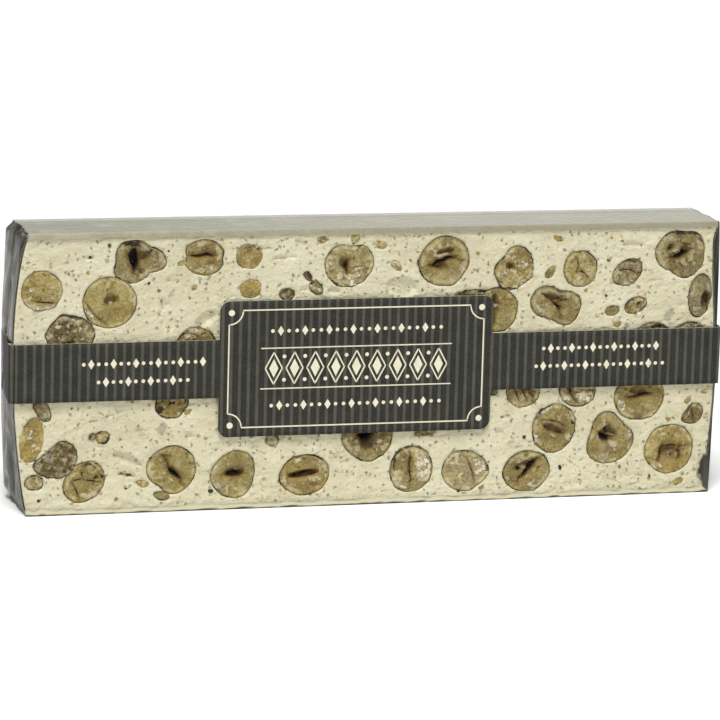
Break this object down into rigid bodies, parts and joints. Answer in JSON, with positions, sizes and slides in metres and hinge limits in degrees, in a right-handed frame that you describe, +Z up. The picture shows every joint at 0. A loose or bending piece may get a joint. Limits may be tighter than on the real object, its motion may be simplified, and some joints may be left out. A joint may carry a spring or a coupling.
{
  "type": "nougat slice",
  "caption": "Long flat slice of white nougat with halved hazelnuts showing in its cut face, drawn tight in clear film, with a striped paper band and plaque round its middle.",
  "frame": {"origin": "middle of the film's bottom, where the slice stands on its long narrow edge", "axes": "+X along the slice's length, towards the picture's right; +Y from the front cut face to the back; +Z up"},
  "size_m": [0.1871, 0.0236, 0.0717],
  "materials": {
    "nougat": "matt cream nougat, cut face, with open bubbles",
    "hazelnut": "roasted hazelnut kernels cut flush with the face",
    "wafer": "thin edible wafer sheet, grainy",
    "film": "clear wrapping film, glossy",
    "paper": "charcoal uncoated paper with fine grey upright stripes"
  },
  "bodies": {
    "root": {"nougat": "nougat", "hazelnut_front_01": "hazelnut", "hazelnut_front_02": "hazelnut", "hazelnut_front_03": "hazelnut", "hazelnut_front_04": "hazelnut", "hazelnut_front_05": "hazelnut", "hazelnut_front_06": "hazelnut", "hazelnut_front_07": "hazelnut", "hazelnut_front_08": "hazelnut", "hazelnut_front_09": "hazelnut", "hazelnut_front_10": "hazelnut", "hazelnut_front_11": "hazelnut", "hazelnut_front_12": "hazelnut", "hazelnut_front_13": "hazelnut", "hazelnut_front_14": "hazelnut", "hazelnut_front_15": "hazelnut", "hazelnut_front_16": "hazelnut", "hazelnut_front_17": "hazelnut", "hazelnut_front_18": "hazelnut", "hazelnut_front_19": "hazelnut", "hazelnut_front_20": "hazelnut", "hazelnut_front_21": "hazelnut", "hazelnut_front_22": "hazelnut", "hazelnut_front_23": "hazelnut", "hazelnut_front_24": "hazelnut", "hazelnut_front_25": "hazelnut", "hazelnut_front_26": "hazelnut", "hazelnut_front_27": "hazelnut", "hazelnut_front_28": "hazelnut", "hazelnut_front_29": "hazelnut", "hazelnut_front_30": "hazelnut", "hazelnut_front_31": "hazelnut", "hazelnut_front_32": "hazelnut", "hazelnut_front_33": "hazelnut", "hazelnut_front_34": "hazelnut", "hazelnut_front_35": "hazelnut", "hazelnut_front_36": "hazelnut", "hazelnut_front_37": "hazelnut", "hazelnut_front_38": "hazelnut", "hazelnut_front_39": "hazelnut", "hazelnut_front_40": "hazelnut", "hazelnut_back_01": "hazelnut", "hazelnut_back_02": "hazelnut", "hazelnut_back_03": "hazelnut", "hazelnut_back_04": "hazelnut", "hazelnut_back_05": "hazelnut", "hazelnut_back_06": "hazelnut", "hazelnut_back_07": "hazelnut", "hazelnut_back_08": "hazelnut", "hazelnut_back_09": "hazelnut", "hazelnut_back_10": "hazelnut", "hazelnut_back_11": "hazelnut", "hazelnut_back_12": "hazelnut", "hazelnut_back_13": "hazelnut", "hazelnut_back_14": "hazelnut", "hazelnut_back_15": "hazelnut", "wafer_top": "wafer", "wafer_bottom": "wafer", "film_wrap": "film", "paper_band": "paper"}
  },
  "joints": []
}
